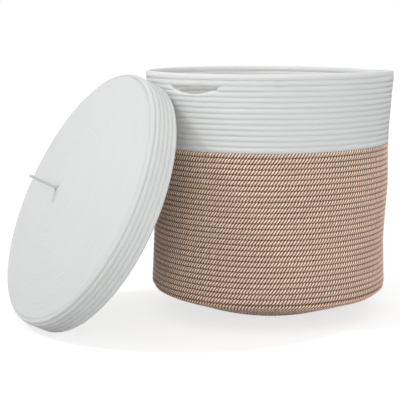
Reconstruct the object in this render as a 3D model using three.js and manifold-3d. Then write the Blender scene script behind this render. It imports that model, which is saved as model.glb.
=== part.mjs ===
// A round storage basket and its domed cap lid, both coiled from cotton rope: every row is
// the next turn of one long rope, stitched to the turn before it. The lid leans on the wall.
// Millimetres, +Z up, -Y to the front, origin on the floor under the middle of the base.

import * as THREE from 'three';
import { mergeVertices } from 'three/addons/utils/BufferGeometryUtils.js';
import Module from 'manifold-3d';

// Basket, outside sizes
const basketHeight = 391;
const rimRadius = 200;
const shoulderRadius = 193.5;
const waistRadius = 187.5;
const footRadius = 190;
const shoulderHeight = 298;
const waistHeight = 172;
const footHeight = 53; // where the wall starts to turn under
const footBend = 20; // outer radius of that turn
const restRadius = 82; // middle of the base, flat on the floor
const restBlend = 24; // how far the flat middle takes to meet the sloping base

// Basket rope
const basketRope = 8.3;
const basketEye = 8.3; // radius of the disc that the first turn is sewn round
const rimRows = 2; // white rows above the hand slots
const whiteRows = 12; // white rows below them
const brownRows = 26; // brown rows that stand up as wall
const basketStartAngle = 38.7; // degrees from +X, where each rope is joined on

// Hand slots, cut down from the underside of the rim rows
const slotLength = 98;
const slotDepth = 15;
const slotBearing = 35.5; // degrees to the left of the front, and the same behind

// Lid, outside sizes along its own axis
const lidRadius = 207; // at the open edge
const lidShoulderRadius = 207; // where the face meets the skirt
const lidHeight = 80.5;
const lidSkirtHeight = 45.8;
const lidBend = 3.5;

// Lid rope
const lidRope = 7.3;
const lidEye = 12;
const lidSkirtRows = 5;
const lidStartAngle = 206;

// Lid at rest, leaning
const lidLean = 63.5; // degrees between its axis and upright
const lidTurn = 59.7; // degrees to the left of the front that its face looks
const lidBearing = 64.2; // degrees to the left of the front, from the basket to the lid
const leanGap = 0.3;

// Loop of doubled cord in the middle of the lid, and its stopper knot
const cordDiameter = 4.6;
const loopHeight = 47.7;
const loopWidth = 10.8; // over the bend at its tip
const loopLegGap = 5.4; // between the middles of its two legs
const holeGap = 0.3;
const knotRadius = 9;
const knotHeight = 11;

// Rope rows
const grooveDepth = 2.2; // how deep the groove between two rows is
const ropeTail = 0.2; // share of the last turn over which the rope's end tapers off
const restCut = 0.5; // how much of the bottom rows is pressed flat by the floor
const seam = 0.3; // clearance between pieces that touch

// Mesh steps
const segments = 28;
const pointsPerRow = 2; // a groove and a crest
const curveSteps = 4;
const hollowStep = 30;
const cordSides = 8;
const cordSteps = 60;
const knotSegments = 14;
const wallSamples = 400;
const edgeSteps = 4;
const leanPasses = 12;

const wasm = await Module();
wasm.setup();

function signedVolume(position, index) {
  const [a, b, c] = [new THREE.Vector3(), new THREE.Vector3(), new THREE.Vector3()];
  let volume = 0;
  for (let i = 0; i < index.length; i += 3) {
    a.fromBufferAttribute(position, index[i]);
    b.fromBufferAttribute(position, index[i + 1]);
    c.fromBufferAttribute(position, index[i + 2]);
    volume += a.dot(b.cross(c)) / 6;
  }
  return volume;
}

// Welds a closed surface, drops collapsed triangles and turns its faces outwards.
function toSolid(geometry) {
  const bare = geometry.clone();
  bare.deleteAttribute('normal');
  bare.deleteAttribute('uv');
  const welded = mergeVertices(bare, 1e-3);
  const kept = [];
  const index = welded.index.array;
  for (let i = 0; i < index.length; i += 3) {
    const [a, b, c] = [index[i], index[i + 1], index[i + 2]];
    if (a !== b && b !== c && c !== a) kept.push(a, b, c);
  }
  if (signedVolume(welded.attributes.position, kept) < 0) kept.reverse();
  return new wasm.Manifold(new wasm.Mesh({
    numProp: 3,
    vertProperties: welded.attributes.position.array,
    triVerts: new Uint32Array(kept),
  }));
}

function toGeometry(solid) {
  const mesh = solid.getMesh();
  const geometry = new THREE.BufferGeometry();
  geometry.setAttribute('position', new THREE.BufferAttribute(mesh.vertProperties, 3));
  geometry.setIndex(new THREE.BufferAttribute(mesh.triVerts, 1));
  geometry.computeVertexNormals();
  return geometry;
}

// The basket's wall in section, along the middle of the rope, from the axis to the rim.
function basketPath() {
  const half = basketRope / 2;
  const floorLevel = half - restCut;
  const bend = footBend - half;
  const bendCentre = new THREE.Vector2(footRadius - footBend, footHeight);
  const across = bendCentre.x - restRadius;
  const up = bendCentre.y - floorLevel;
  const slope = Math.atan2(up, across) - Math.asin(bend / Math.hypot(across, up));
  const path = new THREE.Path();
  path.moveTo(0, floorLevel);
  path.lineTo(restRadius - restBlend, floorLevel);
  path.quadraticCurveTo(restRadius, floorLevel,
    restRadius + restBlend * Math.cos(slope), floorLevel + restBlend * Math.sin(slope));
  path.lineTo(bendCentre.x + bend * Math.sin(slope), bendCentre.y - bend * Math.cos(slope));
  path.absarc(bendCentre.x, bendCentre.y, bend, slope - Math.PI / 2, 0);
  path.splineThru([
    new THREE.Vector2(waistRadius - half, waistHeight),
    new THREE.Vector2(shoulderRadius - half, shoulderHeight),
    new THREE.Vector2(rimRadius - half, basketHeight),
  ]);
  return path;
}

// The lid in section, from the middle of its face to the open edge of its skirt.
function lidPath() {
  const half = lidRope / 2;
  const top = lidHeight - half;
  const corner = new THREE.Vector2(lidShoulderRadius - half, lidSkirtHeight - half);
  const faceEnd = corner.x - lidBend;
  const faceDrop = (top - corner.y) * (faceEnd / corner.x) ** 2;
  const path = new THREE.Path();
  path.moveTo(0, top);
  path.quadraticCurveTo(faceEnd / 2, top, faceEnd, top - faceDrop);
  path.quadraticCurveTo(corner.x, corner.y, corner.x, corner.y - lidBend);
  path.lineTo(lidRadius - half, 0);
  return path;
}

// A rope coiled along a path: the whole rows that fit, and the row height that fills it.
function makeCoil(path, rope, eye, startAngle, side) {
  const length = path.getLength();
  const turns = Math.round((length - eye) / rope - 1 + ropeTail);
  const pitch = (length - eye) / (turns + 1 - ropeTail);
  return { path, rope, eye, side, length, turns, pitch, start: THREE.MathUtils.degToRad(startAngle) };
}

// A point of the section, `stand` outside the middle of the rope; row 0 begins at the eye.
function sectionPoint(coil, row, stand) {
  const along = THREE.MathUtils.clamp((coil.eye + row * coil.pitch) / coil.length, 0, 1);
  const middle = coil.path.getPoint(along);
  const ahead = coil.path.getTangent(along);
  return new THREE.Vector2(
    middle.x + ahead.y * stand * coil.side,
    middle.y - ahead.x * stand * coil.side,
  );
}

// A point of the ribbed outside. Relief is 0 in a groove and 1 on a crest.
function skinPoint(coil, row, relief, turn) {
  const point = sectionPoint(coil, row, coil.rope / 2 - grooveDepth * (1 - relief));
  const angle = coil.start + 2 * Math.PI * turn;
  return new THREE.Vector3(point.x * Math.cos(angle), point.x * Math.sin(angle), point.y);
}

// Rows `from` to `to` of a coil as one solid, filled to the axis. The rows climb one row
// height in each turn, so column `segments` is column 0, one row further up. The turn round
// the eye starts with no width, as row -1.
function coiledPlug(coil, from, to) {
  const startsAtEye = from === 0;
  const first = startsAtEye ? -1 : from;
  const last = (to - first) * pointsPerRow;
  const endsInTail = to === coil.turns;
  const points = [];
  const faces = [];
  const own = new Map();

  function place(k, j) {
    const turn = j / segments;
    const rowStart = Math.floor(k / pointsPerRow);
    const step = k / pointsPerRow - rowStart;
    const tailWidth = Math.min(1, (1 - turn) / ropeTail);
    let row = first + k / pointsPerRow + turn;
    let relief = step > 0 ? 1 : 0;
    let swing = 0;
    if (startsAtEye && k < pointsPerRow) {
      row = step * turn;
      relief *= turn;
    }
    if (endsInTail && k > last - pointsPerRow) {
      row = to - 1 + turn + tailWidth * (k / pointsPerRow + first - to + 1);
      relief *= tailWidth;
    } else if (k === last) {
      row -= seam / coil.pitch;
    }
    if (!startsAtEye && j === 0 && k < pointsPerRow) {
      const radius = sectionPoint(coil, row, 0).x;
      swing = seam / radius / (2 * Math.PI);
    }
    return skinPoint(coil, row, relief, turn + swing);
  }

  function vertex(k, j) {
    if (j === segments && k + pointsPerRow <= last) return vertex(k + pointsPerRow, 0);
    const key = k * (segments + 1) + j;
    if (!own.has(key)) {
      own.set(key, points.length);
      points.push(place(k, j));
    }
    return own.get(key);
  }

  function add(point) {
    points.push(point);
    return points.length - 1;
  }

  for (let k = 0; k < last; k += 1) {
    for (let j = 0; j < segments; j += 1) {
      faces.push(vertex(k, j), vertex(k, j + 1), vertex(k + 1, j + 1));
      faces.push(vertex(k, j), vertex(k + 1, j + 1), vertex(k + 1, j));
    }
  }

  if (startsAtEye) {
    const hub = add(skinPoint(coil, -coil.eye / coil.pitch, 1, 0));
    const disc = [];
    for (let j = 0; j < segments; j += 1) {
      disc.push(add(skinPoint(coil, -coil.eye / coil.pitch / 2, 1, j / segments)));
    }
    for (let j = 0; j < segments; j += 1) {
      const next = (j + 1) % segments;
      faces.push(hub, disc[next], disc[j]);
      faces.push(disc[j], disc[next], vertex(0, j + 1));
      faces.push(disc[j], vertex(0, j + 1), vertex(0, j));
    }
  } else {
    const level = skinPoint(coil, from + 0.5, 0, 0).z;
    const hub = add(new THREE.Vector3(0, 0, level));
    for (let j = 0; j < segments; j += 1) faces.push(hub, vertex(0, j + 1), vertex(0, j));
    for (let k = 0; k < pointsPerRow; k += 1) faces.push(hub, vertex(k, 0), vertex(k + 1, 0));
  }

  const topRow = endsInTail ? to : to + 0.5 - seam / coil.pitch;
  const cap = add(new THREE.Vector3(0, 0, skinPoint(coil, topRow, 0, 0).z));
  for (let j = 0; j < segments; j += 1) faces.push(cap, vertex(last, j), vertex(last, j + 1));
  for (let k = last - pointsPerRow; k < last; k += 1) {
    faces.push(cap, vertex(k + 1, segments), vertex(k, segments));
  }

  const geometry = new THREE.BufferGeometry();
  geometry.setFromPoints(points);
  geometry.setIndex(faces);
  return toSolid(geometry);
}

// The smooth space inside a coil, reaching well past its open end.
function hollow(coil) {
  const inset = -(coil.rope - grooveDepth) / 2;
  const profile = [];
  function inward(point, ahead) {
    return new THREE.Vector2(
      Math.max(0, point.x + ahead.y * inset * coil.side),
      point.y - ahead.x * inset * coil.side,
    );
  }
  coil.path.curves.forEach((curve, place) => {
    const steps = curve.isLineCurve ? 1 : Math.max(curveSteps, Math.round(curve.getLength() / hollowStep));
    for (let i = place === 0 ? 0 : 1; i <= steps; i += 1) {
      profile.push(inward(curve.getPointAt(i / steps), curve.getTangentAt(i / steps)));
    }
  });
  profile[0].x = 0;
  const mouth = profile[profile.length - 1];
  const outside = mouth.y + coil.side * 4 * coil.rope;
  profile.push(new THREE.Vector2(mouth.x, outside), new THREE.Vector2(0, outside));
  return toSolid(new THREE.LatheGeometry(profile, segments).rotateX(Math.PI / 2));
}

function rope(name, color, roughness, solid) {
  const material = new THREE.MeshStandardMaterial({ color, roughness, metalness: 0 });
  const mesh = new THREE.Mesh(toGeometry(solid), material);
  mesh.name = name;
  return mesh;
}

// The lens that a hand slot leaves: level under the rim rows, sagging below.
function slotCutter(coil, bearing) {
  const angle = THREE.MathUtils.degToRad(bearing);
  const turn = THREE.MathUtils.euclideanModulo(angle - coil.start, 2 * Math.PI) / (2 * Math.PI);
  const edge = sectionPoint(coil, coil.turns - rimRows + turn, 0);
  const lens = new THREE.Shape();
  lens.moveTo(slotLength / 2, 2 * coil.rope);
  lens.lineTo(-slotLength / 2, 2 * coil.rope);
  lens.lineTo(-slotLength / 2, 0);
  lens.quadraticCurveTo(0, -2 * slotDepth, slotLength / 2, 0);
  lens.closePath();
  const reach = 4 * coil.rope;
  const cutter = new THREE.ExtrudeGeometry(lens, {
    depth: 2 * reach, bevelEnabled: false, curveSegments: 2 * curveSteps,
  });
  cutter.translate(0, 0, -reach);
  cutter.rotateX(Math.PI / 2);
  cutter.rotateZ(angle + Math.PI / 2);
  cutter.translate(edge.x * Math.cos(angle), edge.x * Math.sin(angle), edge.y);
  return toSolid(cutter);
}

function basket() {
  const coil = makeCoil(basketPath(), basketRope, basketEye, basketStartAngle, 1);
  const inside = hollow(coil);
  const rimStart = coil.turns - rimRows;
  const whiteStart = rimStart - whiteRows;
  const brownStart = whiteStart - brownRows;

  const floorSize = 4 * rimRadius;
  const aboveFloor = toSolid(new THREE.BoxGeometry(floorSize, floorSize, basketHeight)
    .translate(0, 0, basketHeight / 2));
  const base = coiledPlug(coil, 0, brownStart).subtract(inside).intersect(aboveFloor);
  const brownWall = coiledPlug(coil, brownStart, whiteStart).subtract(inside);
  const rim = coiledPlug(coil, rimStart, coil.turns).subtract(inside);
  let whiteWall = coiledPlug(coil, whiteStart, rimStart).subtract(inside);
  for (const bearing of [270 - slotBearing, 90 - slotBearing]) {
    whiteWall = whiteWall.subtract(slotCutter(coil, bearing));
  }

  const group = new THREE.Group();
  group.add(rope('base_coil', 0xa88d78, 0.9, base));
  group.add(rope('brown_wall_coil', 0xae9584, 0.9, brownWall));
  group.add(rope('white_wall_coil', 0xe0e1de, 0.85, whiteWall));
  group.add(rope('rim_coil', 0xe0e1de, 0.85, rim));
  return group;
}

// Both legs of the loop go through the eye of the lid; it stands in the lid's own XZ plane.
function loopCord(crownTop, crownUnder) {
  const leg = loopLegGap / 2;
  const bend = loopWidth / 2 - cordDiameter / 2;
  const tip = crownTop + loopHeight - cordDiameter / 2;
  const bendStart = tip - bend;
  const halfBend = bend * Math.SQRT1_2;
  const route = [
    [-leg, crownUnder],
    [-leg, crownTop],
    [-leg, crownTop + loopHeight / 2],
    [-bend, bendStart],
    [-halfBend, bendStart + halfBend],
    [0, tip],
    [halfBend, bendStart + halfBend],
    [bend, bendStart],
    [leg, crownTop + loopHeight / 2],
    [leg, crownTop],
    [leg, crownUnder],
  ];
  const curve = new THREE.CatmullRomCurve3(route.map(([x, z]) => new THREE.Vector3(x, 0, z)));
  const section = new THREE.Shape();
  section.absarc(0, 0, cordDiameter / 2, 0, 2 * Math.PI);
  return toSolid(new THREE.ExtrudeGeometry(section, {
    extrudePath: curve, steps: cordSteps, curveSegments: cordSides / 2, bevelEnabled: false,
  }));
}

// The hole in the eye of the lid that both legs share.
function loopHole() {
  const radius = cordDiameter / 2 + holeGap;
  const outline = new THREE.Shape();
  outline.absarc(loopLegGap / 2, 0, radius, -Math.PI / 2, Math.PI / 2);
  outline.absarc(-loopLegGap / 2, 0, radius, Math.PI / 2, Math.PI * 1.5);
  outline.closePath();
  const depth = 4 * lidRope;
  return toSolid(new THREE.ExtrudeGeometry(outline, {
    depth, bevelEnabled: false, curveSegments: cordSides / 2,
  }).translate(0, 0, lidHeight - depth / 2));
}

// The stopper knot: two turns of the cord drawn tight, one above the other.
function stopperKnot(top) {
  const profile = [
    new THREE.Vector2(0, 0),
    new THREE.Vector2(knotRadius * 0.8, 0),
    new THREE.Vector2(knotRadius, -knotHeight * 0.25),
    new THREE.Vector2(knotRadius * 0.85, -knotHeight * 0.5),
    new THREE.Vector2(knotRadius * 0.95, -knotHeight * 0.72),
    new THREE.Vector2(knotRadius * 0.6, -knotHeight),
    new THREE.Vector2(0, -knotHeight),
  ];
  return toSolid(new THREE.LatheGeometry(profile, knotSegments)
    .rotateX(Math.PI / 2).translate(0, 0, top));
}

function lidPieces() {
  const coil = makeCoil(lidPath(), lidRope, lidEye, lidStartAngle, -1);
  const inside = hollow(coil);
  const skirtStart = coil.turns - lidSkirtRows;
  const skirt = coiledPlug(coil, skirtStart, coil.turns).subtract(inside);
  const crownTop = lidHeight;
  const crownUnder = lidHeight - lidRope + grooveDepth / 2;
  const crown = coiledPlug(coil, 0, skirtStart).subtract(inside).subtract(loopHole());
  const group = new THREE.Group();
  group.add(rope('lid_crown_coil', 0xe4e5e3, 0.85, crown));
  group.add(rope('lid_skirt_coil', 0xe4e5e3, 0.85, skirt));
  group.add(rope('lid_loop', 0xd9dad7, 0.8, loopCord(crownTop, crownUnder)));
  group.add(rope('lid_loop_knot', 0xd9dad7, 0.8, stopperKnot(crownUnder - seam)));
  return group;
}

// Outside radius of the basket at each whole millimetre of height, along the crests.
function crestRadii() {
  const wall = basketPath().getSpacedPoints(wallSamples).filter((point) => point.x > restRadius);
  const radii = [];
  for (let height = 0; height <= basketHeight; height += 1) {
    const above = wall.findIndex((point) => point.y >= height);
    radii.push(wall[above < 0 ? wall.length - 1 : above].x + basketRope / 2);
  }
  return radii;
}

// Points along the edges of every face of a mesh, in the model's space.
function edgeSamples(mesh) {
  const corner = [new THREE.Vector3(), new THREE.Vector3(), new THREE.Vector3()];
  const { position } = mesh.geometry.attributes;
  const index = mesh.geometry.index.array;
  const samples = [];
  for (let i = 0; i < index.length; i += 3) {
    corner.forEach((point, n) => point.fromBufferAttribute(position, index[i + n]));
    for (let n = 0; n < 3; n += 1) {
      for (let step = 0; step < edgeSteps; step += 1) {
        const point = corner[n].clone().lerp(corner[(n + 1) % 3], step / edgeSteps);
        samples.push(point.applyMatrix4(mesh.matrixWorld));
      }
    }
  }
  return samples;
}

// How far from the axis a facet of the basket is, seen at an angle, for a given corner radius.
function facetRadius(radius, angle) {
  const facet = 2 * Math.PI / segments;
  const start = THREE.MathUtils.degToRad(basketStartAngle);
  const off = THREE.MathUtils.euclideanModulo(angle - start, facet) - facet / 2;
  return radius * Math.cos(facet / 2) / Math.cos(off);
}

// Leans the lid: its skirt stands on the floor and its edge just clears the wall.
function leanLid(lid) {
  const turn = THREE.MathUtils.degToRad(lidTurn);
  const lean = THREE.MathUtils.degToRad(lidLean);
  const bearing = THREE.MathUtils.degToRad(lidBearing);
  const axis = new THREE.Vector3(
    -Math.sin(turn) * Math.sin(lean), -Math.cos(turn) * Math.sin(lean), Math.cos(lean),
  );
  const level = new THREE.Vector3(Math.cos(turn), -Math.sin(turn), 0);
  const uphill = axis.clone().cross(level);
  lid.quaternion.setFromRotationMatrix(new THREE.Matrix4().makeBasis(level, uphill, axis));
  lid.updateMatrixWorld(true);

  const samples = lid.children.flatMap(edgeSamples);
  const drop = samples.reduce((lowest, sample) => Math.min(lowest, sample.z), 0);
  const radii = crestRadii();
  const near = samples.filter((sample) => sample.z - drop <= basketHeight);
  const towards = new THREE.Vector2(-Math.sin(bearing), -Math.cos(bearing));
  let distance = rimRadius;
  for (let pass = 0; pass < leanPasses; pass += 1) {
    let needed = 0;
    for (const sample of near) {
      const x = sample.x + towards.x * distance;
      const y = sample.y + towards.y * distance;
      const crest = radii[Math.floor(sample.z - drop)];
      const clear = facetRadius(crest, Math.atan2(y, x)) + leanGap;
      const along = sample.x * towards.x + sample.y * towards.y;
      const room = along * along - sample.x ** 2 - sample.y ** 2 + clear * clear;
      if (room > 0) needed = Math.max(needed, Math.sqrt(room) - along);
    }
    distance = needed;
  }
  lid.position.set(towards.x * distance, towards.y * distance, -drop);
  return lid;
}

const model = new THREE.Group();
model.add(basket(), leanLid(lidPieces()));

export default model;
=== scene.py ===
import math

import bpy
import numpy as np
from mathutils import Matrix, Vector


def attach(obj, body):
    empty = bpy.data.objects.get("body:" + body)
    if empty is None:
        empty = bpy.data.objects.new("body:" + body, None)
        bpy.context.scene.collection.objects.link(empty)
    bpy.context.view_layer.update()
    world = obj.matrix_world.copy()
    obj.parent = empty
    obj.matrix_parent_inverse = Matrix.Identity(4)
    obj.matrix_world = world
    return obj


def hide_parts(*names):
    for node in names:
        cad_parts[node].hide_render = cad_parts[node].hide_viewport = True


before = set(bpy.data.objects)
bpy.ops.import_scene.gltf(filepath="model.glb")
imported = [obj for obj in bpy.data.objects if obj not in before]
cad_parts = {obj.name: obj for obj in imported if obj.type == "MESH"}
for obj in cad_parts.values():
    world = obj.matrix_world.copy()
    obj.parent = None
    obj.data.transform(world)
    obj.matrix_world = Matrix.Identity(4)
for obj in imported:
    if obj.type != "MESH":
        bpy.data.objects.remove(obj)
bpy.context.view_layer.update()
print("frame loaded:", ", ".join(sorted(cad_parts)))

# Everything is in metres. Angles in the dictionaries are degrees.
rng = np.random.default_rng(11)

shot = {
    "place": (0.0, -1.944, 0.475),
    "yaw": 3.31,             # how far it looks to the left
    "pitch": 8.76,           # and down
    "lens": 107.55,
    "sensor": 36.0,
}

basket = {
    "height": 0.391,
    "rimRadius": 0.200,
    "shoulderRadius": 0.1935,
    "waistRadius": 0.1875,
    "footRadius": 0.1912,
    "shoulderHeight": 0.298,
    "waistHeight": 0.172,
    "footHeight": 0.048,
    "footBend": 0.0155,
    "restRadius": 0.082,     # of the middle that rests on the floor
    "restBlend": 0.024,      # to each side of it, where the base starts to rise
    "pressedFlat": 0.0005,   # of the rows that rest
    "rope": 0.0083,
    "eye": 0.0083,
    "firstTurn": -1,         # its rope starts one turn inside the first whole row
    "rimRows": 2,
    "whiteRows": 12,
    "brownRows": 26,
    "startAngle": 38.7,
    # How far the soft wall stands out, which way, over how many degrees, and round which height
    "bulge": {"out": 0.0049, "angle": 354, "width": 150, "middle": 0.202, "height": 0.19},
    "dent": {"out": -0.0019, "angle": 206.5, "width": 40, "middle": 0.366, "height": 0.12},
}

lid = {
    "radius": 0.207,
    "shoulderRadius": 0.207,
    "height": 0.0805,
    "skirtHeight": 0.0458,
    "bend": 0.0035,
    "rope": 0.0073,
    "eye": 0.012,
    "hole": 0.0022,          # radius of the middle of the rope's first turn, round the loop's legs
    "skirtRows": 5,
    "startAngle": 206,
    "lean": 63.5,
    "turn": 59.7,
    "knotTop": 0.0740,       # height of the knot's top in the lid
    "give": 0.0047,          # how far its edge gives inwards beside the wall that it leans on
    "giveAngle": 32,
    "giveWidth": 100,        # degrees of the edge that give
}

ropeEnds = {
    "tail": 0.2,             # share of the last turn over which a rope tapers off
    "thinnest": 0.02,        # of its width, at the tail's tip
    "blunt": 0.1,            # of its size, where a cut end closes
    "gap": 0.0002,           # turns between two ropes that meet end to end
}

# Hand-sewn rows aren't quite even: a slow wave moves each row together with its neighbours.
uneven = {
    "out": 0.00035,
    "up": 0.00025,
    "waves": ((2, 0.21), (5, -0.33), (11, 0.90)),   # whole waves in a turn, their drift per row
    "flatShare": 0.85,       # how much less the flat rows stand out
}
wavePhase = rng.uniform(0, 2 * math.pi, (2, len(uneven["waves"])))

aboveFloor = 0.0001
samplesPerTurn = 400         # at which a coil is measured
tiny = 1e-9


# Sections, from the axis outwards, along the middle of the rope

def straight(a, b, count=60):
    t = np.linspace(0, 1, count)[:, None]
    return np.array(a) * (1 - t) + np.array(b) * t


def bent(a, b, c, count=160):
    t = np.linspace(0, 1, count)[:, None]
    return np.array(a) * (1 - t) ** 2 + np.array(b) * 2 * t * (1 - t) + np.array(c) * t * t


def rounded(centre, radius, start, end, count=120):
    t = np.linspace(start, end, count)
    return np.stack([centre[0] + radius * np.cos(t), centre[1] + radius * np.sin(t)], 1)


def smoothThrough(points, count=300):
    points = [np.array(p) for p in points]
    last = len(points) - 1
    out = []
    for i in range(last):
        a, b, c, d = (points[min(max(k, 0), last)] for k in (i - 1, i, i + 1, i + 2))
        t = np.linspace(0, 1, count)[:, None]
        leave, arrive = (c - a) / 2, (d - b) / 2
        out.append((2 * b - 2 * c + leave + arrive) * t ** 3
                   + (3 * c - 3 * b - 2 * leave - arrive) * t ** 2 + leave * t + b)
    return np.concatenate(out)


def basketSection(s):
    half = s["rope"] / 2
    floorLevel = half - s["pressedFlat"]
    bend = s["footBend"] - half
    centre = (s["footRadius"] - s["footBend"], s["footHeight"])
    across, up = centre[0] - s["restRadius"], centre[1] - floorLevel
    slope = math.atan2(up, across) - math.asin(bend / math.hypot(across, up))
    flatEnd = (s["restRadius"] - s["restBlend"], floorLevel)
    slopeStart = (s["restRadius"] + s["restBlend"] * math.cos(slope),
                  floorLevel + s["restBlend"] * math.sin(slope))
    slopeEnd = (centre[0] + bend * math.sin(slope), centre[1] - bend * math.cos(slope))
    wall = [(centre[0] + bend, centre[1]), (s["waistRadius"] - half, s["waistHeight"]),
            (s["shoulderRadius"] - half, s["shoulderHeight"]), (s["rimRadius"] - half, s["height"])]
    return np.concatenate([
        straight((0, floorLevel), flatEnd),
        bent(flatEnd, (s["restRadius"], floorLevel), slopeStart),
        straight(slopeStart, slopeEnd),
        rounded(centre, bend, slope - math.pi / 2, 0),
        smoothThrough(wall),
    ])


def lidSection(s):
    half = s["rope"] / 2
    top = s["height"] - half
    corner = (s["shoulderRadius"] - half, s["skirtHeight"] - half)
    faceEnd = corner[0] - s["bend"]
    faceDrop = (top - corner[1]) * (faceEnd / corner[0]) ** 2
    face = (faceEnd, top - faceDrop)
    skirt = (corner[0], corner[1] - s["bend"])
    return np.concatenate([
        bent((0, top), (faceEnd / 2, top), face, 400),
        bent(face, corner, skirt),
        straight(skirt, (s["radius"] - half, 0)),
    ])


def unit(vectors):
    return vectors / np.linalg.norm(vectors, axis=1)[:, None]


# A path without doubled points, and how far along it each of them is
def measured(path):
    steps = np.linalg.norm(np.diff(path, axis=0), axis=1)
    kept = steps > tiny
    return path[np.concatenate([[True], kept])], np.concatenate([[0], np.cumsum(steps[kept])])


def coilAlong(section, s, side):
    section, run = measured(section)
    ahead = unit(np.gradient(section, run, axis=0))
    turns = round((run[-1] - s["eye"]) / s["rope"] - 1 + ropeEnds["tail"])
    pitch = (run[-1] - s["eye"]) / (turns + 1 - ropeEnds["tail"])
    return {"section": section, "run": run, "ahead": ahead, "turns": turns, "pitch": pitch,
            "rope": s["rope"], "eye": s["eye"], "side": side,
            "start": math.radians(s["startAngle"])}


# Level is in rows from the eye. The answer is a point (r, z) and the way on from it.
def sectionAt(coil, level):
    along = np.clip(coil["eye"] + level * coil["pitch"], 0, coil["run"][-1])
    point = np.stack([np.interp(along, coil["run"], coil["section"][:, k]) for k in (0, 1)], 1)
    ahead = np.stack([np.interp(along, coil["run"], coil["ahead"][:, k]) for k in (0, 1)], 1)
    return point, ahead


# How far the section turns from one row to the next, up to 72 degrees
def rowBend(coil, turn):
    before, after = (sectionAt(coil, turn + step)[1] for step in (-0.5, 0.5))
    return np.arccos(np.clip(np.sum(before * after, 1), 0.3, 1))[:, None]


def ropeLength(coil, turn):
    point, _ = sectionAt(coil, turn + 0.5)
    steps = np.hypot(np.diff(turn) * 2 * math.pi * (point[1:, 0] + point[:-1, 0]) / 2,
                     np.diff(turn) * coil["pitch"])
    return np.concatenate([[0], np.cumsum(steps)])


# How wide the rope is along its last turn, 1 before the tail
def tailWidth(coil, turn):
    return np.clip((coil["turns"] - turn) / ropeEnds["tail"], ropeEnds["thinnest"], 1)


def rowMiddle(coil, turn):
    return turn + 0.5 * tailWidth(coil, turn)


def unevenness(turn, phases):
    total = np.zeros_like(turn)
    for (count, drift), phase in zip(uneven["waves"], phases):
        total += np.sin((2 * math.pi * count + drift) * turn + phase) / math.sqrt(count)
    return total[:, None]


# Places rings round the axis. out and up are (rings, points): away from the wall, and along it.
def placeRings(coil, turn, level, out, up, flat=0):
    point, ahead = sectionAt(coil, level)
    outward = coil["side"] * np.stack([ahead[:, 1], -ahead[:, 0]], 1)
    out = out + uneven["out"] * unevenness(turn, wavePhase[0]) * (1 - uneven["flatShare"] * flat)
    up = up + uneven["up"] * unevenness(turn, wavePhase[1])
    angle = (coil["start"] + 2 * math.pi * turn)[:, None]
    radius = point[:, :1] + outward[:, :1] * out + ahead[:, :1] * up
    height = point[:, 1:] + outward[:, 1:] * out + ahead[:, 1:] * up
    return np.stack([radius * np.cos(angle), radius * np.sin(angle), height], 2)


# Where each point is in its rope: along it, and across it two ways. Fibres are drawn in this.
def ropeSpace(run, out, up):
    return np.stack([np.broadcast_to(run[:, None], out.shape), out, up], 2)


# One mesh of closed tubes. A tube is its rings of points, their rope coordinates and their relief,
# from which the material paints its tone and shade.
def tubeMesh(name, tubes, inward=False):
    faces = []
    start = 0
    for rings, _, _ in tubes:
        count, around = rings.shape[:2]
        index = start + np.arange(count * around).reshape(count, around)
        after = np.roll(index, -1, axis=1)
        quads = np.stack([index[:-1], index[1:], after[1:], after[:-1]], 2).reshape(-1, 4)
        caps = [index[0], index[-1][::-1]]
        faces += [face.tolist() for face in caps] + quads.tolist()
        start += count * around
    if inward:
        faces = [face[::-1] for face in faces]
    points, inRope, relief = (np.concatenate([tube[k].reshape(-1, size) for tube in tubes])
                              for k, size in ((0, 3), (1, 3), (2, 1)))
    mesh = bpy.data.meshes.new(name)
    mesh.from_pydata(points.tolist(), [], faces)
    for attribute, kind, key, values in (("ropeSpace", "FLOAT_VECTOR", "vector", inRope),
                                         ("relief", "FLOAT", "value", relief)):
        made = mesh.attributes.new(attribute, kind, "POINT")
        made.data.foreach_set(key, values.astype(np.float32).ravel())
    mesh.shade_smooth()
    mesh.update()
    return mesh


def addObject(name, data):
    made = bpy.data.objects.new(name, data)
    bpy.context.scene.collection.objects.link(made)
    return made


def addPiece(name, mesh, material, body, nodes):
    mesh.materials.append(material)
    piece = addObject(name, mesh)
    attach(piece, body)
    if nodes:
        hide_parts(*nodes)
    print(f"{name}: {len(mesh.polygons)} faces")


# Moves a mesh's points, by a function of all of them at once
def reshape(mesh, change):
    points = change(np.array([vertex.co for vertex in mesh.vertices]))
    mesh.vertices.foreach_set("co", points.ravel())
    mesh.update()


# 1 where off is 0, down to 0 at half the width
def fade(off, width):
    return np.cos(np.clip(off / width, -0.5, 0.5) * math.pi) ** 2


def degreesFrom(points, way):
    return (np.degrees(np.arctan2(points[:, 1], points[:, 0])) - way + 180) % 360 - 180


def widen(points, scale):
    return points * np.stack([scale, scale, np.ones_like(scale)], 1)


# The soft wall isn't quite round: it stands out on the side away from the lid,
# and gives under the lid.
def softWall(points):
    out = np.zeros(len(points))
    for change in (basket["bulge"], basket["dent"]):
        along = fade(degreesFrom(points, change["angle"]), change["width"])
        out += change["out"] * along * fade(points[:, 2] - change["middle"], change["height"])
    return widen(points, 1 + out / basket["waistRadius"])


def addBasketPiece(name, mesh, material, nodes=()):
    reshape(mesh, softWall)
    addPiece(name, mesh, material, "basket", nodes)


# Rows press their neighbours flat, so the section is a circle with its two sides pushed in.
def pressedSection(around, outHalf, upHalf, power):
    across, along = np.abs(np.cos(around) / outHalf), np.abs(np.sin(around) / upHalf)
    return (across ** power + along ** power) ** (-1 / power)


# Painted shade in the grooves where rows press on each other: what is left of a rope's tone there
def paintedGrooveShade(around, shade):
    return 1 - shade * np.abs(np.sin(around)) ** 3


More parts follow.
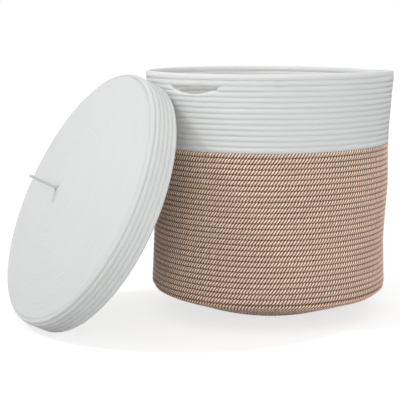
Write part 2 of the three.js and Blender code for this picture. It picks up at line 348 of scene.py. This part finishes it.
# Size of a rope near its two ends, where it is cut and sewn round
def roundedEnds(run, radius, roundStart, roundEnd):
    size = np.ones_like(run)
    for isRound, away in ((roundStart, run - run[0]), (roundEnd, run[-1] - run)):
        if isRound:
            near = np.clip(away / radius, 0, 1)
            size *= np.maximum(np.sqrt(1 - (1 - near) ** 2), ropeEnds["blunt"])
    return size[:, None]


# Twisted rope: three strands laid round each other

twisted = {
    "strands": 3,
    "lay": 0.0151,           # one full twist
    "wallTwists": 79.0,      # twists in one turn of the wall, so the strands of two rows line up
    "ringsPerTwist": 8,
    "pointsPerStrand": 4,
    "strandOffset": 0.90,    # from the rope's middle to each strand's
    "strandRadius": 2.5,     # on the same scale
    "power": 2.15,
    "overlap": 0.0002,       # into the next row
    "pressedPower": 1.5,     # how far round from the next row it presses
    "pressedRelief": 0.48,   # what is left of the strands' relief there
    "paintedSideShade": 0.54,       # how much darker the strands are there, as painted shade
    "wander": 0.025,         # how far the twist strays, in twists
    "wanderWaves": (1.37, 4.71, 9.43),
}
wanderPhase = rng.uniform(0, 2 * math.pi, len(twisted["wanderWaves"]))


def strandShape(around, t):
    sector = 2 * math.pi / t["strands"]
    off = (around + sector / 2) % sector - sector / 2
    c, r = t["strandOffset"], t["strandRadius"]
    return (c * np.cos(off) + np.sqrt(r * r - (c * np.sin(off)) ** 2)) / (c + r)


# On the base the twist has its own lay, and from wallStart on it keeps step with the rows.
def twistedRope(name, coil, fromTurn, toTurn, wallStart, t):
    fine = np.linspace(basket["firstTurn"], coil["turns"], coil["turns"] * samplesPerTurn)
    length = ropeLength(coil, fine)
    perTurn = np.where(fine < wallStart, np.gradient(length, fine) / t["lay"], t["wallTwists"])
    twist = np.concatenate([[0], np.cumsum((perTurn[1:] + perTurn[:-1]) / 2 * np.diff(fine))])
    twist += t["wander"] * sum(np.sin(2 * math.pi * waves * fine + phase)
                               for waves, phase in zip(t["wanderWaves"], wanderPhase))
    span = np.interp([fromTurn, toTurn - ropeEnds["gap"]], fine, twist)
    twistAt = np.linspace(*span, round((span[1] - span[0]) * t["ringsPerTwist"]) + 1)
    turn = np.interp(twistAt, twist, fine)
    run = np.interp(turn, fine, length)
    points = t["strands"] * t["pointsPerStrand"]
    onStrand = (np.arange(points) * 2 * math.pi / points)[None, :]
    around = onStrand + 2 * math.pi * twistAt[:, None]
    pressed = np.abs(np.sin(around)) ** t["pressedPower"]
    shape = strandShape(onStrand, t) ** (1 - pressed * (1 - t["pressedRelief"]))
    radius = pressedSection(around, coil["rope"] / 2, coil["pitch"] / 2 + t["overlap"], t["power"])
    radius = radius * shape * roundedEnds(run, coil["rope"] / 2, fromTurn < 0, False)
    out, up = radius * np.cos(around), radius * np.sin(around)
    rings = placeRings(coil, turn, rowMiddle(coil, turn), out, up)
    rings[:, :, 2] = np.maximum(rings[:, :, 2], aboveFloor)
    # The tone follows the strands' relief: dark between them, partly dye and partly painted shade,
    # with painted shade where the rows press together.
    low = strandShape(np.array([math.pi / t["strands"]]), t)[0]
    relief = (strandShape(onStrand, t) - low) / (1 - low) * paintedGrooveShade(around, t["paintedSideShade"])
    # The coordinates follow the strands, so fibres do too.
    inRope = ropeSpace(run, radius * np.cos(onStrand), radius * np.sin(onStrand))
    return tubeMesh(name, [(rings, inRope, relief)])


# Braided rope: a round cover whose crossing yarns stand up as small diamonds

braided = {
    "points": 16,
    "step": 0.0020,          # half a yarn crossing, along the rope
    "yarnRelief": 0.00010,
    "power": 2.0,
    "overlap": 0.0013,       # into the next row, so that only a shallow groove is left
    "paintedSideShade": 0.3,        # how much darker the yarns are there, as painted shade
    "flatRows": 0,           # rows from the eye that are pulled flat
    "flatFade": 0.5,         # rows over which that ends
    "cornerRows": 1.5,       # how much further the side towards the eye stays flat
    "flatOverlap": 0.0010,
    "flatWidth": 1.15,       # how fast a flat row reaches its full width
    "flatCorner": 0.3,       # how sharp its two corners are
    "dip": 0.025,            # how much thinner it is at its sides
    "paintedFlatShade": 0.85,        # how plain the flat rows and the corner row are, and how much darker, as painted shade
}
skirtBraided = dict(braided, overlap=0.0010)
crownBraided = dict(braided, power=2.5, overlap=0.0007, flatRows=26)


# On the lid's face the rows are pulled so tight that they lie flat, with hardly a groove
# between them. bend is how far the section has turned since the row before, whose face
# this row carries on.
def flatSection(around, outHalf, upHalf, bend, b):
    across = np.clip(b["flatWidth"] * np.sin(around), -1, 1)
    up = upHalf * across
    turned = np.where(-up < outHalf * np.sin(bend), np.sqrt(np.maximum(outHalf ** 2 - up ** 2, 0)),
                      (outHalf + up * np.sin(bend)) / np.cos(bend))
    top = np.where(up < 0, np.minimum(turned, outHalf), outHalf) * (1 - b["dip"] * across ** 2)
    corner = np.clip(np.cos(around) / b["flatCorner"], -1, 1)
    return np.where(np.cos(around) > 0, top, outHalf) * corner, up


# Angles round each ring, and the crossing yarns there: 1 on a yarn, -1 between yarns
def yarnRings(count, points):
    around = np.arange(points)[None, :] * 2 * math.pi / points + np.zeros((count, 1))
    yarn = (np.arange(count)[:, None] + np.arange(points)[None, :]) % 2 * 2.0 - 1
    return around, yarn


# 1 on the side of a ring that is towards the eye, and 0 on the other
def eyeSide(around):
    return np.clip(0.5 - 1.5 * np.sin(around), 0, 1)


# A span is where a stretch of rope starts and ends, in turns, and whether each end is rounded.
def braidedRope(name, coil, spans, b, shapeRings=None):
    inEye = coil["eye"] / coil["pitch"] + 0.5     # rows that would fit in the eye
    fine = np.linspace(-inEye, coil["turns"], coil["turns"] * samplesPerTurn)
    length = ropeLength(coil, fine)
    outHalf = coil["rope"] / 2 - b["yarnRelief"]
    upHalf, flatHalf = (coil["pitch"] / 2 + b[key] for key in ("overlap", "flatOverlap"))
    tubes = []
    for fromTurn, toTurn, roundStart, roundEnd in spans:
        first, last = np.interp([fromTurn, toTurn - ropeEnds["gap"]], fine, length)
        run = np.linspace(first, last, round((last - first) / b["step"]) + 1)
        turn = np.interp(run, length, fine)
        around, yarn = yarnRings(len(run), b["points"])
        radius = pressedSection(around, outHalf, upHalf, b["power"])
        flatOut, flatUp = flatSection(around, outHalf, flatHalf, rowBend(coil, turn), b)
        # The side towards the eye stays flat for one row more.
        flatTo = b["flatRows"] + b["cornerRows"] * eyeSide(around)
        flat = np.clip((flatTo - turn[:, None]) / b["flatFade"], 0, 1)
        out = radius * np.cos(around) * (1 - flat) + flatOut * flat
        up = radius * np.sin(around) * (1 - flat) + flatUp * flat
        out = out + yarn * b["yarnRelief"] * np.cos(around) * np.abs(np.cos(around))
        width = tailWidth(coil, turn)[:, None]
        size = roundedEnds(run, coil["rope"] / 2, roundStart, roundEnd)
        out, up = out * size * np.sqrt(width), up * size * width
        rings = placeRings(coil, turn, rowMiddle(coil, turn), out, up, flat)
        if shapeRings:
            rings = shapeRings(rings, coil, turn)
        # Painted shade: the flat rows of the lid's face and its corner row are made plainer and
        # darker.
        plainShade = np.clip((b["flatRows"] + b["cornerRows"] - turn) / b["flatFade"], 0, 1)[:, None]
        relief = (yarn + 1) / 2 * paintedGrooveShade(around, b["paintedSideShade"]) * (1 - b["paintedFlatShade"] * plainShade)
        tubes.append((rings, ropeSpace(run, out, up), relief))
    return tubeMesh(name, tubes, coil["side"] < 0)


# Zigzag thread that sews each row to the next, lying across the groove between them

stitches = {
    "thread": 0.0005,
    "step": 0.0027,          # along the groove, from one side to the other
    "reach": 0.0017,         # to each side of the groove
    "sunk": 0.0003,          # into the flat rows
    "tackStep": 0.0012,      # of a bar tack, where the sewing starts and stops
    "tackReach": 0.0020,
    "tackLength": 0.011,
    "tackAngle": 273.4,
}


def zigzagThread(coil, fromTurn, toTurn, step, reach, b):
    fine = np.linspace(fromTurn, toTurn, max(2, round((toTurn - fromTurn) * samplesPerTurn)))
    length = ropeLength(coil, fine)
    run = np.arange(0, length[-1], step)
    turn = np.interp(run, length, fine)
    upHalf = coil["pitch"] / 2 + b["overlap"]
    above = (1 - ((coil["pitch"] / 2 - reach) / upHalf) ** b["power"]) ** (1 / b["power"])
    aboveFlat = coil["rope"] / 2 - b["yarnRelief"] - stitches["sunk"]
    flat = np.clip((b["flatRows"] - turn - 1) / b["flatFade"], 0, 1)[:, None]
    side = np.where(np.arange(len(run)) % 2 > 0, reach, -reach)[:, None]
    half = stitches["thread"] / 2
    middle = above * coil["rope"] / 2 * (1 - flat) + aboveFlat * flat
    out = middle + half * np.array([[1, 0, -1, 0]])
    up = side + half * np.array([[0, 1, 0, -1]])
    rings = placeRings(coil, turn, turn + 1, out, up, flat)
    inRope = ropeSpace(run, np.hypot(rings[:, :, 0], rings[:, :, 1]), rings[:, :, 2])
    return rings, inRope, np.ones(out.shape)


# Hand slots: the rows under the rim thin out to nothing along a lens

slots = {
    "length": 0.104,
    "depth": 0.0125,
    "bearing": 36.3,         # to the left of the front, and the same behind
    "fullness": 2.3,         # 2 is a plain curve, more has steeper ends
    "rows": 3,               # that make way
    "taperTo": 0.20,         # of its depth, where the row that comes to the slot ends
    "startsAt": 0.50,        # of its depth, where that row goes on behind the slot
    "leftOver": 0.0006,      # of each row in the middle of the slot
}
slotAngles = [facing - slots["bearing"] for facing in (270, 90)]


def slotTurn(coil, bearing):
    return (math.radians(bearing) - coil["start"]) / (2 * math.pi) % 1


# Spans between breaks, which are pairs of turns. An end at a break is rounded.
def spansBetween(start, breaks, end):
    breaks = sorted(breaks)
    starts = [start] + [after for _, after in breaks]
    stops = [before for before, _ in breaks] + [end]
    return [(a, b, k > 0, k < len(breaks)) for k, (a, b) in enumerate(zip(starts, stops))]


# How far from a slot's middle its edge sags by a share of its depth
def slotReach(share):
    return slots["length"] / 2 * (1 - share) ** (1 / slots["fullness"])


# The stretches of the white wall's rope, whose last row breaks off at both slots
def slotSpans(coil, fromTurn, rimStart):
    around = sectionAt(coil, np.array([rimStart]))[0][0, 0] * 2 * math.pi
    before, after = (slotReach((1 - slots[key]) * coil["pitch"] / slots["depth"]) / around
                     for key in ("taperTo", "startsAt"))
    middles = [rimStart - 1 + slotTurn(coil, bearing) for bearing in slotAngles]
    breaks = [(middle - before, middle + after) for middle in middles]
    return spansBetween(fromTurn, breaks, rimStart)


# Moves the rows that a slot passes through down to its lower edge, and thins them there
def openSlots(rings, coil, turn):
    rimLevel = coil["turns"] - basket["rimRows"]
    bottom = sectionAt(coil, turn)[0][:, 1:]
    top = sectionAt(coil, turn + 1)[0][:, 1:]
    middle = (bottom + top) / 2
    rowsBelow = (rimLevel - np.floor(turn + tiny) - 1)[:, None]
    for bearing in slotAngles:
        angle = math.radians(bearing)
        edge = sectionAt(coil, np.array([rimLevel + slotTurn(coil, bearing)]))[0][0, 1]
        across = rings[:, :, 1] * math.cos(angle) - rings[:, :, 0] * math.sin(angle)
        facing = rings[:, :, 0] * math.cos(angle) + rings[:, :, 1] * math.sin(angle)
        sag = slots["depth"] * (1 - np.abs(2 * across / slots["length"]) ** slots["fullness"])
        limit = edge - sag - rowsBelow * slots["leftOver"]
        inSlot = (facing > 0) & (sag > 0) & (rowsBelow < slots["rows"])
        newTop = np.where(inSlot, np.minimum(top, limit), top)
        newBottom = np.minimum(bottom, newTop - slots["leftOver"])
        share = (newTop - newBottom) / (top - bottom)
        squeezed = (newTop + newBottom) / 2 + (rings[:, :, 2] - middle) * share
        rings[:, :, 2] = np.where(newTop < top - tiny, squeezed, rings[:, :, 2])
    return rings


# Materials

brownLook = {
    "gap": (0.040, 0.012, 0.005),     # colours from between the strands to their crests; the dark between them is partly the rope's dye and partly painted shade
    "gapTo": 0.17,                    # and the relief at which each is reached
    "middle": (0.53, 0.282, 0.163),
    "middleAt": 0.46,
    "crest": (0.99, 0.79, 0.665),
    "crestAt": 0.67,
    "roughness": 0.7,
    "specular": 0.05,
    "sheen": 0.0,
    "sheenRoughness": 0.6,
    "fibreScale": (180, 1900),        # per metre, along the rope and across it
    "fibreTone": 0.18,
    "patchScale": (9, 120),
    "patchTone": 0.12,
    "bump": 0.5,
    "bumpDepth": 0.0003,
}

# The darker tone between the crossing yarns is painted shade.
whiteLook = {
    "gap": (0.73, 0.745, 0.738),
    "gapTo": 0.0,
    "middle": (0.785, 0.80, 0.793),
    "middleAt": 0.5,
    "crest": (0.81, 0.825, 0.82),
    "crestAt": 1.0,
    "roughness": 0.9,
    "specular": 0.35,
    "sheen": 0.4,
    "sheenRoughness": 0.6,
    "fibreScale": (700, 1500),
    "fibreTone": 0.03,
    "patchScale": (11, 150),
    "patchTone": 0.015,
    "bump": 0.5,
    "bumpDepth": 0.0002,
}


def withColours(look, gap, middle, crest):
    return dict(look, gap=gap, middle=middle, crest=crest)


# The lid's rope is the wall's white rope; its colours differ from the wall's to suit how the lid is
# lit, as painted light and shade.
lidLook = withColours(whiteLook, (0.690, 0.704, 0.696), (0.79, 0.803, 0.795), (0.84, 0.852, 0.845))
# The loop's cord is painted a darker grey than the white rope, as painted shade.
loopLook = withColours(whiteLook, (0.50, 0.51, 0.50), (0.66, 0.67, 0.66), (0.74, 0.75, 0.74))
threadLook = withColours(whiteLook, (0.70, 0.71, 0.69), (0.74, 0.75, 0.73), (0.78, 0.79, 0.77))

noiseLow, noiseHigh = 0.3, 0.7        # between which a noise mostly stays


def newTree(material):
    material.use_nodes = True
    return material.node_tree, material.node_tree.links.new


def node(tree, kind, **values):
    made = tree.nodes.new("ShaderNode" + kind)
    for key, value in values.items():
        if hasattr(made, key):
            setattr(made, key, value)
        else:
            made.inputs[key.replace("_", " ")].default_value = value
    return made


# Noise drawn out along the rope, and the factor by which it changes the tone
def fibreNoise(tree, scale, tone, **values):
    link = tree.links.new
    along, across = scale
    where = node(tree, "Attribute", attribute_name="ropeSpace")
    stretch = node(tree, "VectorMath", operation="MULTIPLY")
    stretch.inputs[1].default_value = (along, across, across)
    link(where.outputs["Vector"], stretch.inputs[0])
    noise = node(tree, "TexNoise", noise_dimensions="3D", Scale=1.0, **values)
    link(stretch.outputs["Vector"], noise.inputs["Vector"])
    factor = node(tree, "MapRange", From_Min=noiseLow, From_Max=noiseHigh,
                  To_Min=1 - tone, To_Max=1 + tone)
    link(noise.outputs["Fac"], factor.inputs["Value"])
    return noise.outputs["Fac"], factor.outputs["Result"]


def ropeMaterial(name, look):
    material = bpy.data.materials.new(name)
    tree, link = newTree(material)
    shader = tree.nodes["Principled BSDF"]
    shader.inputs["Roughness"].default_value = look["roughness"]
    shader.inputs["Specular IOR Level"].default_value = look["specular"]
    shader.inputs["Sheen Weight"].default_value = look["sheen"]
    shader.inputs["Sheen Roughness"].default_value = look["sheenRoughness"]

    # Colour from the relief, from the gap colour to the crest colour; the dark in the gaps holds
    # painted shade.
    relief = node(tree, "Attribute", attribute_name="relief")
    tones = node(tree, "ValToRGB")
    stops = tones.color_ramp.elements
    stops[0].position, stops[0].color = look["gapTo"], (*look["gap"], 1)
    stops[1].position, stops[1].color = look["crestAt"], (*look["crest"], 1)
    between = stops.new(look["middleAt"])
    between.color = (*look["middle"], 1)
    link(relief.outputs["Fac"], tones.inputs["Fac"])

    fibre, fibreTone = fibreNoise(tree, look["fibreScale"], look["fibreTone"],
                                  Detail=3.0, Roughness=0.6)
    _, patchTone = fibreNoise(tree, look["patchScale"], look["patchTone"], Detail=2.0)
    both = node(tree, "Math", operation="MULTIPLY")
    link(fibreTone, both.inputs[0])
    link(patchTone, both.inputs[1])
    toned = node(tree, "VectorMath", operation="SCALE")
    link(tones.outputs["Color"], toned.inputs[0])
    link(both.outputs["Value"], toned.inputs["Scale"])
    link(toned.outputs["Vector"], shader.inputs["Base Color"])

    bump = node(tree, "Bump", Strength=look["bump"], Distance=look["bumpDepth"])
    link(fibre, bump.inputs["Height"])
    link(bump.outputs["Normal"], shader.inputs["Normal"])
    return material


brownRope = ropeMaterial("brownRope", brownLook)
whiteRope = ropeMaterial("whiteRope", whiteLook)
lidRope = ropeMaterial("lidRope", lidLook)
loopCord = ropeMaterial("loopCord", loopLook)
thread = ropeMaterial("sewingThread", threadLook)
print("materials made")


# The basket

basketCoil = coilAlong(basketSection(basket), basket, 1)
rimStart = basketCoil["turns"] - basket["rimRows"]
whiteStart = rimStart - basket["whiteRows"]
brownStart = whiteStart - basket["brownRows"]
print("basket rows:", basketCoil["turns"], "row height:", round(basketCoil["pitch"], 5))

baseMesh = twistedRope("brown_base_rope", basketCoil, basket["firstTurn"], brownStart,
                       brownStart, twisted)
addBasketPiece("brown_base_rope", baseMesh, brownRope, ["base_coil"])
wallMesh = twistedRope("brown_wall_rope", basketCoil, brownStart, whiteStart,
                       brownStart, twisted)
addBasketPiece("brown_wall_rope", wallMesh, brownRope, ["brown_wall_coil"])
whiteSpans = slotSpans(basketCoil, whiteStart, rimStart)
whiteMesh = braidedRope("white_wall_rope", basketCoil, whiteSpans, braided, openSlots)
addBasketPiece("white_wall_rope", whiteMesh, whiteRope, ["white_wall_coil"])
rimSpans = [(rimStart, basketCoil["turns"], False, False)]
rimMesh = braidedRope("rim_rope", basketCoil, rimSpans, braided)
addBasketPiece("rim_rope", rimMesh, whiteRope, ["rim_coil"])


# How much of a turn at the rim a length takes up, to each side of its middle
def halfTurn(length):
    return length / 2 / (2 * math.pi * basket["rimRadius"])


# Sewing on the white rows: none where a slot leaves two rows apart
def basketSewing():
    half = halfTurn(slots["length"])
    middles = [row + slotTurn(basketCoil, bearing)
               for row in (rimStart - 2, rimStart - 1) for bearing in slotAngles]
    breaks = [(middle - half, middle + half) for middle in middles]
    spans = spansBetween(whiteStart, breaks, basketCoil["turns"] - 1 - ropeEnds["tail"])
    tubes = [zigzagThread(basketCoil, start, end, stitches["step"], stitches["reach"], braided)
             for start, end, _, _ in spans]
    tack = slotTurn(basketCoil, stitches["tackAngle"])
    half = halfTurn(stitches["tackLength"])
    for row in (rimStart - 1, rimStart):
        tubes.append(zigzagThread(basketCoil, row + tack - half, row + tack + half,
                                  stitches["tackStep"], stitches["tackReach"], braided))
    return tubeMesh("basket_stitches", tubes)


addBasketPiece("basket_stitches", basketSewing(), thread)


# The lid. The frame says where it leans: its knot lies on the lid's axis.

def lidMatrix():
    turn, lean = math.radians(lid["turn"]), math.radians(lid["lean"])
    axis = Vector((-math.sin(turn) * math.sin(lean), -math.cos(turn) * math.sin(lean),
                   math.cos(lean)))
    level = Vector((math.cos(turn), -math.sin(turn), 0))
    uphill = axis.cross(level)
    axes = np.array([level, uphill, axis])
    knot = np.array([v.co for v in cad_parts["lid_loop_knot"].data.vertices]) @ axes.T
    low, high = knot.min(0), knot.max(0)
    local = np.array([(low[0] + high[0]) / 2, (low[1] + high[1]) / 2, high[2] - lid["knotTop"]])
    matrix = Matrix((level, uphill, axis)).transposed().to_4x4()
    matrix.translation = Vector(local @ axes)
    return matrix


lidPlace = lidMatrix()


# The soft lid isn't quite round either: its edge gives a little on one side.
def softLid(points):
    share = fade(degreesFrom(points, lid["giveAngle"]), lid["giveWidth"])
    reach = np.hypot(points[:, 0], points[:, 1]) / lid["radius"]
    return widen(points, 1 - lid["give"] / lid["radius"] * share * np.clip(reach, 0, 1) ** 3)


def leaning(points):
    points = softLid(points) @ np.array(lidPlace.to_3x3().transposed())
    points += np.array(lidPlace.translation)
    points[:, 2] = np.maximum(points[:, 2], aboveFloor)
    return points


def addLidPiece(name, mesh, material, nodes=()):
    reshape(mesh, leaning)
    addPiece(name, mesh, material, "lid", nodes)


lidCoil = coilAlong(lidSection(lid), lid, -1)
skirtStart = lidCoil["turns"] - lid["skirtRows"]
print("lid rows:", lidCoil["turns"], "row height:", round(lidCoil["pitch"], 5))

crownSpans = [((lid["hole"] - lid["eye"]) / lidCoil["pitch"], skirtStart, True, False)]
crownMesh = braidedRope("lid_crown_rope", lidCoil, crownSpans, crownBraided)
addLidPiece("lid_crown_rope", crownMesh, lidRope, ["lid_crown_coil"])
skirtSpans = [(skirtStart, lidCoil["turns"], False, False)]
skirtMesh = braidedRope("lid_skirt_rope", lidCoil, skirtSpans, skirtBraided)
addLidPiece("lid_skirt_rope", skirtMesh, lidRope, ["lid_skirt_coil"])
sewnTo = lidCoil["turns"] - 1 - ropeEnds["tail"]
sewnStretches = ((0, skirtStart - 1, crownBraided), (skirtStart, sewnTo, skirtBraided))
lidSewing = [zigzagThread(lidCoil, start, end, stitches["step"], stitches["reach"], rope)
             for start, end, rope in sewnStretches]
addLidPiece("lid_stitches", tubeMesh("lid_stitches", lidSewing), thread)


# The loop: one doubled cord through the eye of the lid, with its stopper knot underneath

loop = {
    "cord": 0.0046,
    "height": 0.0477,
    "width": 0.0108,         # over the bend at its tip
    "legGap": 0.0054,        # between the middles of its two legs
    "points": 14,
    "step": 0.0008,
    "yarnRelief": 0.00012,
    "knotMiddle": 0.0048,    # from the axis to the middle of the knot's turns
    "knotSwing": 0.0024,
    "knotStep": 0.0007,
    "endLength": 0.006,      # of the two cut ends under the knot
    # Their two bends: how far apart against the legs, how the left and the right end sway,
    # and how far down, as a share of the length
    "endBends": ((1.2, (0.001, 0.001), 0.6), (1.6, (-0.002, 0.002), 1.0)),
}


# A braided cord along any path, a list of (x, y, z) in the lid
def cordAlong(path, reference, c, step):
    path, length = measured(path)
    run = np.linspace(0, length[-1], max(4, round(length[-1] / step)) + 1)
    middle = np.stack([np.interp(run, length, path[:, k]) for k in range(3)], 1)
    ahead = unit(np.gradient(middle, run, axis=0))
    side = unit(np.cross(ahead, reference))
    up = np.cross(side, ahead)
    around, yarn = yarnRings(len(run), c["points"])
    radius = c["cord"] / 2 - c["yarnRelief"] + yarn * c["yarnRelief"]
    radius = radius * roundedEnds(run, c["cord"] / 4, True, True)
    across, along = radius * np.cos(around), radius * np.sin(around)
    rings = (middle[:, None, :] + across[:, :, None] * side[:, None, :]
             + along[:, :, None] * up[:, None, :])
    # Darker between the yarns, as painted shade
    return rings, ropeSpace(run, across, along), (yarn + 1) / 2


def loopPath(c, crownTop, under):
    leg, bend = c["legGap"] / 2, (c["width"] - c["cord"]) / 2
    tip = crownTop + c["height"] - c["cord"] / 2
    bendStart, halfBend = tip - bend, bend * math.sqrt(0.5)
    right = [(halfBend, 0, bendStart + halfBend), (bend, 0, bendStart),
             (leg, 0, crownTop + c["height"] / 2), (leg, 0, crownTop), (leg, 0, under)]
    left = [(-x, y, z) for x, y, z in reversed(right)]
    return smoothThrough(left + [(0, 0, tip)] + right, 40)


# Three swings on two turns make it cross over itself.
def knotPath(c, middleHeight):
    t = np.linspace(0, 2 * math.pi, 400)
    out = c["knotMiddle"] + c["knotSwing"] * np.cos(3 * t)
    height = middleHeight + c["knotSwing"] * np.sin(3 * t)
    return np.stack([out * np.cos(2 * t), out * np.sin(2 * t), height], 1)


def cutEnd(c, side, top):
    leg = (-1, 1)[side] * c["legGap"] / 2
    return smoothThrough([(leg, 0, top)] + [(leg * spread, sway[side], top - c["endLength"] * down)
                                            for spread, sway, down in c["endBends"]], 20)


knotHeight = loop["knotSwing"] * 2 + loop["cord"]
knotMiddle = lid["knotTop"] - knotHeight / 2
loopTube = cordAlong(loopPath(loop, lid["height"], knotMiddle), (0, 1, 0), loop, loop["step"])
loopMesh = tubeMesh("lid_loop_cord", [loopTube])
addLidPiece("lid_loop_cord", loopMesh, loopCord, ["lid_loop"])
knotTubes = [cordAlong(knotPath(loop, knotMiddle), (0, 0, 1), loop, loop["knotStep"])]
knotTubes += [cordAlong(cutEnd(loop, side, knotMiddle), (0, 1, 0), loop, loop["step"])
              for side in (0, 1)]
knotMesh = tubeMesh("lid_stopper_knot", knotTubes)
addLidPiece("lid_stopper_knot", knotMesh, loopCord, ["lid_loop_knot"])


# The room

studio = {
    "floorSize": 12.0,
    "floorColour": (0.45, 0.45, 0.45),
    "floorWhite": 0.70,                  # what the camera sees of it besides light and shadow
    "skyStrength": 0.86,
    "skyFade": 0.30,                     # how much weaker it is straight above
    "lampDistance": 3,
    "keyWay": (-0.625, -0.16, 0.765),    # from the object to the lamp
    "keyStrength": 0.72,
    "keySpread": 2.5,
    "fillWay": (-0.02, -1.0, 0.09),
    "fillStrength": 1.25,
    "fillSpread": 40,
}


def addLamp(name, way, strength, spread):
    data = bpy.data.lights.new(name, "SUN")
    data.energy = strength
    data.angle = math.radians(spread)
    lamp = addObject(name, data)
    direction = Vector(way).normalized()
    lamp.location = direction * studio["lampDistance"]
    lamp.rotation_mode = "QUATERNION"
    lamp.rotation_quaternion = direction.to_track_quat("Z", "Y")


# 1 for what is seen, straight, in a gloss or through glass,
# and 0 for the light that falls on the object
def seenRays(tree):
    rays = node(tree, "LightPath")
    seen = rays.outputs["Is Camera Ray"]
    for kind in ("Is Glossy Ray", "Is Transmission Ray"):
        either = node(tree, "Math", operation="MAXIMUM")
        tree.links.new(seen, either.inputs[0])
        tree.links.new(rays.outputs[kind], either.inputs[1])
        seen = either.outputs["Value"]
    return seen


# White to the camera, with the shadow on it, and grey to the light that it throws back
def makeFloor():
    material = bpy.data.materials.new("paleFloor")
    tree, link = newTree(material)
    tree.nodes.clear()
    shaded = node(tree, "BsdfDiffuse")
    shaded.inputs["Color"].default_value = (*studio["floorColour"], 1)
    white = node(tree, "Emission", Strength=studio["floorWhite"])
    both = node(tree, "AddShader")
    link(shaded.outputs["BSDF"], both.inputs[0])
    link(white.outputs["Emission"], both.inputs[1])
    choice = node(tree, "MixShader")
    link(seenRays(tree), choice.inputs["Fac"])
    link(shaded.outputs["BSDF"], choice.inputs[1])
    link(both.outputs["Shader"], choice.inputs[2])
    surface = node(tree, "OutputMaterial")
    link(choice.outputs["Shader"], surface.inputs["Surface"])
    half = studio["floorSize"] / 2
    corners = [(-half, -half, 0), (half, -half, 0), (half, half, 0), (-half, half, 0)]
    mesh = bpy.data.meshes.new("studio_floor")
    mesh.from_pydata(corners, [], [(0, 1, 2, 3)])
    mesh.materials.append(material)
    addObject("studio_floor", mesh)


def lightRoom():
    world = bpy.data.worlds.new("softRoom")
    tree, link = newTree(world)
    bpy.context.scene.world = world
    background = tree.nodes["Background"]
    background.inputs["Color"].default_value = (1, 1, 1, 1)
    way = node(tree, "TexCoord")
    parts = node(tree, "SeparateXYZ")
    link(way.outputs["Generated"], parts.inputs["Vector"])
    sky = node(tree, "MapRange", To_Min=studio["skyStrength"],
               To_Max=studio["skyStrength"] * (1 - studio["skyFade"]))
    link(parts.outputs["Z"], sky.inputs["Value"])
    strength = node(tree, "MapRange", To_Max=1.0)
    link(seenRays(tree), strength.inputs["Value"])
    link(sky.outputs["Result"], strength.inputs["To Min"])
    link(strength.outputs["Result"], background.inputs["Strength"])
    addLamp("keyLamp", studio["keyWay"], studio["keyStrength"], studio["keySpread"])
    addLamp("fillLamp", studio["fillWay"], studio["fillStrength"], studio["fillSpread"])


def placeCamera():
    yaw, pitch = math.radians(shot["yaw"]), math.radians(shot["pitch"])
    forward = Vector((-math.sin(yaw) * math.cos(pitch), math.cos(yaw) * math.cos(pitch),
                      -math.sin(pitch)))
    right = Vector((math.cos(yaw), math.sin(yaw), 0))
    data = bpy.data.cameras.new("photoCamera")
    data.lens = shot["lens"]
    data.sensor_width = shot["sensor"]
    camera = addObject("photoCamera", data)
    matrix = Matrix((right, right.cross(forward), -forward)).transposed().to_4x4()
    matrix.translation = Vector(shot["place"])
    camera.matrix_world = matrix
    bpy.context.scene.camera = camera


makeFloor()
lightRoom()
placeCamera()
bpy.context.scene.view_settings.view_transform = "Standard"
print("room lit, camera placed")
